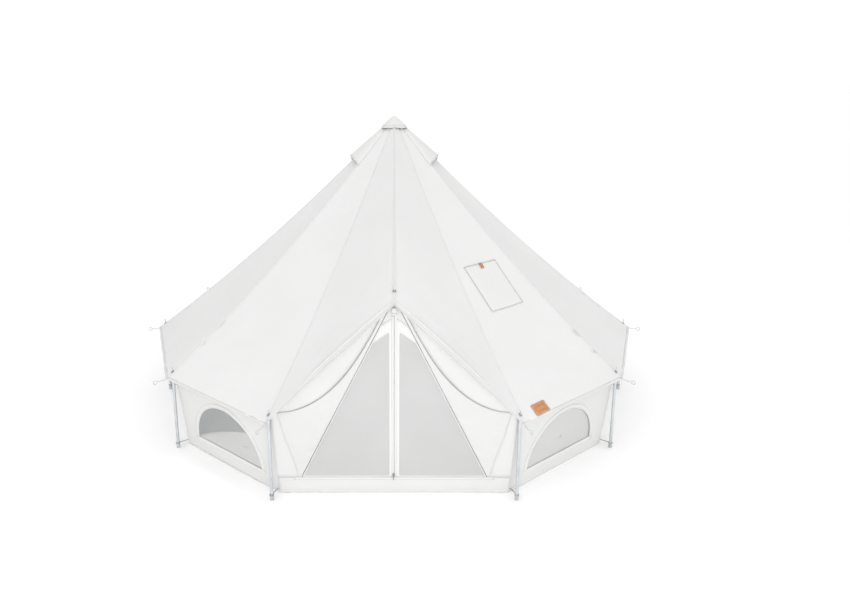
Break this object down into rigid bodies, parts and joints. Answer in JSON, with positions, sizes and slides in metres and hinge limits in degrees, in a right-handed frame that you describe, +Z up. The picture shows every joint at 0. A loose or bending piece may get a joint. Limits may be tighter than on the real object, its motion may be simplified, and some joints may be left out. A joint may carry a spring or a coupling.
{
  "type": "bell tent",
  "caption": "Round canvas bell tent with a centre pole, low pole-held side walls, an A-frame door with net screens and tied-back flaps, and half-moon windows.",
  "frame": {"origin": "on the ground at the centre pole's axis, on the groundsheet's underside", "axes": "+Z up, -Y towards the door, +X to the right seen from the door"},
  "size_m": [5.3718, 5.1413, 2.974],
  "materials": {
    "roof_canvas": "matt cotton canvas",
    "wall_canvas": "matt cotton canvas",
    "door_canvas": "matt cotton canvas",
    "net": "fine mosquito net",
    "galvanised_steel": "galvanised, satin",
    "eyelet_metal": "dull nickel",
    "foot_rubber": "matt",
    "groundsheet": "coated woven sheet",
    "zip": "coil zip on a woven tape",
    "zip_metal": "dull nickel",
    "heat_cloth": "coated glass cloth",
    "leather": "tan vegetable-tanned leather",
    "rope": "laid cord"
  },
  "bodies": {
    "root": {"groundsheet": "groundsheet", "centre_pole_lower": "galvanised_steel", "centre_pole_upper": "galvanised_steel", "centre_pole_sleeve": "galvanised_steel", "centre_pole_foot": "foot_rubber", "centre_pole_cap": "foot_rubber", "door_pole_left": "galvanised_steel", "door_pole_right": "galvanised_steel", "door_pole_connector": "galvanised_steel", "pole_feet": "foot_rubber", "grommets": "eyelet_metal", "wall_links": "eyelet_metal", "wall_pole_0": "galvanised_steel", "wall_pole_1": "galvanised_steel", "wall_pole_2": "galvanised_steel", "wall_pole_3": "galvanised_steel", "wall_pole_4": "galvanised_steel", "wall_pole_5": "galvanised_steel", "wall_pole_6": "galvanised_steel", "wall_pole_7": "galvanised_steel", "wall_pole_8": "galvanised_steel", "wall_pole_9": "galvanised_steel", "wall_pole_10": "galvanised_steel", "roof_gore_0": "roof_canvas", "roof_gore_1": "roof_canvas", "roof_gore_2": "roof_canvas", "roof_gore_3": "roof_canvas", "roof_gore_4": "roof_canvas", "roof_gore_5": "roof_canvas", "roof_gore_6": "roof_canvas", "roof_gore_7": "roof_canvas", "roof_gore_8": "roof_canvas", "roof_gore_9": "roof_canvas", "roof_front_left": "roof_canvas", "roof_front_right": "roof_canvas", "roof_cap": "roof_canvas", "vent_hood_left": "roof_canvas", "vent_hood_right": "roof_canvas", "vent_nets": "net", "wall_left_window": "wall_canvas", "wall_right_window": "wall_canvas", "wall_panels": "wall_canvas", "front_wall_left": "wall_canvas", "front_wall_right": "wall_canvas", "threshold_band": "wall_canvas", "window_nets": "net", "stove_jack": "heat_cloth", "leather_badge": "leather", "guy_ropes": "rope"},
    "flap_left": {"door_flap_left": "door_canvas"},
    "flap_right": {"door_flap_right": "door_canvas"},
    "screen_left": {"door_frame_left": "wall_canvas", "door_net_left": "net", "door_zip": "zip"},
    "screen_right": {"door_frame_right": "wall_canvas", "door_net_right": "net"},
    "zip_slider": {"zip_slider": "zip_metal"},
    "cover_left": {"window_cover_left": "wall_canvas"},
    "cover_right": {"window_cover_right": "wall_canvas"},
    "stove_cover": {"stove_cover": "roof_canvas"}
  },
  "joints": [
    {"name": "flap_left_swing", "type": "hinge", "parent": "root", "child": "flap_left", "pos_m": [-0.79889, -2.206, 0.155], "axis": [-0.4408, 0, -0.8976], "range_deg": [-172, 0]},
    {"name": "flap_right_swing", "type": "hinge", "parent": "root", "child": "flap_right", "pos_m": [0.79889, -2.206, 0.155], "axis": [-0.4408, 0, 0.8976], "range_deg": [-172, 0]},
    {"name": "screen_left_swing", "type": "hinge", "parent": "root", "child": "screen_left", "pos_m": [-0.79889, -2.19, 0.155], "axis": [0.4408, 0, 0.8976], "range_deg": [0, 75]},
    {"name": "screen_right_swing", "type": "hinge", "parent": "root", "child": "screen_right", "pos_m": [0.79889, -2.19, 0.155], "axis": [0.4408, 0, -0.8976], "range_deg": [0, 75]},
    {"name": "zip_slide", "type": "slide", "parent": "screen_left", "child": "zip_slider", "axis": [0, 0, 1], "range_m": [0, 1.35]},
    {"name": "window_left_drop", "type": "hinge", "parent": "root", "child": "cover_left", "pos_m": [-1.49238, -1.77824, 0.15625], "axis": [-0.766, 0.6429, 0], "range_deg": [-105, 0]},
    {"name": "window_right_drop", "type": "hinge", "parent": "root", "child": "cover_right", "pos_m": [1.49238, -1.77824, 0.15625], "axis": [-0.766, -0.6429, 0], "range_deg": [0, 105]},
    {"name": "stove_cover_lift", "type": "hinge", "parent": "root", "child": "stove_cover", "pos_m": [0.80696, -0.99886, 1.72584], "axis": [-0.766, -0.6429, 0], "range_deg": [0, 150]}
  ]
}
